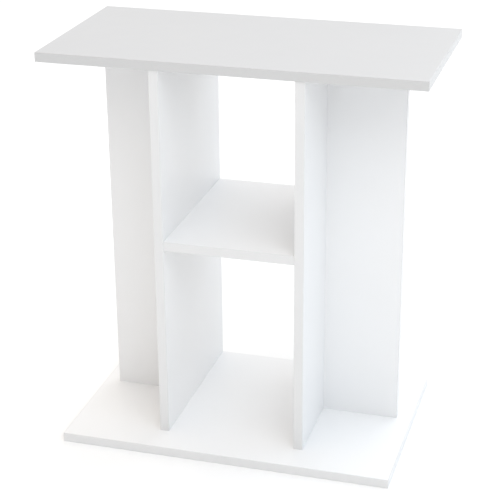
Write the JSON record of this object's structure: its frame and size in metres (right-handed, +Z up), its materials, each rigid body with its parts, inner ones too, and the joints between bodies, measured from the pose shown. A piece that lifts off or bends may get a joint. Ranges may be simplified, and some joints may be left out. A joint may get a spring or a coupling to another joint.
{
  "type": "aquarium stand",
  "caption": "Open white board stand for an aquarium, flush at the back: a wide top and a deep base, joined by crossed upright panels with one shelf in a central bay.",
  "frame": {"origin": "on the floor, under the middle of the base board", "axes": "+Z up; +X to the right when facing the open bay; +Y to the back"},
  "size_m": [0.6, 0.35, 0.64],
  "materials": {
    "white_board": "white melamine facing on chipboard, satin",
    "edge_band": "white edge band, satin",
    "top_facing": "pale grey melamine facing on chipboard, satin",
    "top_band": "pale grey edge band, satin",
    "dowel_wood": "bare beech, fluted",
    "bolt_steel": "bright zinc plating",
    "cam_zinc": "die-cast zinc, dull",
    "cap_plastic": "moulded white plastic",
    "screw_steel": "bright zinc plating"
  },
  "bodies": {
    "root": {"base_board": "white_board", "base_board_back_band": "edge_band", "base_board_front_band": "edge_band", "base_board_left_band": "edge_band", "base_board_right_band": "edge_band", "left_shelf_bolts": "bolt_steel", "left_shelf_cam_caps": "cap_plastic", "left_shelf_cams": "cam_zinc", "left_shelf_dowels": "dowel_wood", "left_upright": "white_board", "left_upright_back_band": "edge_band", "left_upright_base_dowels": "dowel_wood", "left_upright_base_screws": "screw_steel", "left_upright_front_band": "edge_band", "left_upright_top_dowels": "dowel_wood", "left_wing": "white_board", "left_wing_base_dowels": "dowel_wood", "left_wing_base_screw": "screw_steel", "left_wing_left_band": "edge_band", "left_wing_side_bolts": "bolt_steel", "left_wing_side_cam_caps": "cap_plastic", "left_wing_side_cams": "cam_zinc", "left_wing_side_dowels": "dowel_wood", "left_wing_top_bolt": "bolt_steel", "left_wing_top_cam": "cam_zinc", "left_wing_top_cam_cap": "cap_plastic", "left_wing_top_dowels": "dowel_wood", "right_shelf_bolts": "bolt_steel", "right_shelf_cam_caps": "cap_plastic", "right_shelf_cams": "cam_zinc", "right_shelf_dowels": "dowel_wood", "right_upright": "white_board", "right_upright_back_band": "edge_band", "right_upright_base_dowels": "dowel_wood", "right_upright_base_screws": "screw_steel", "right_upright_front_band": "edge_band", "right_upright_top_dowels": "dowel_wood", "right_wing": "white_board", "right_wing_base_dowels": "dowel_wood", "right_wing_base_screw": "screw_steel", "right_wing_right_band": "edge_band", "right_wing_side_bolts": "bolt_steel", "right_wing_side_cam_caps": "cap_plastic", "right_wing_side_cams": "cam_zinc", "right_wing_side_dowels": "dowel_wood", "right_wing_top_bolt": "bolt_steel", "right_wing_top_cam": "cam_zinc", "right_wing_top_cam_cap": "cap_plastic", "right_wing_top_dowels": "dowel_wood", "shelf_board": "white_board", "shelf_board_back_band": "edge_band", "shelf_board_front_band": "edge_band", "top_board": "top_facing", "top_board_back_band": "top_band", "top_board_front_band": "top_band", "top_board_left_band": "top_band", "top_board_right_band": "top_band"}
  },
  "joints": []
}
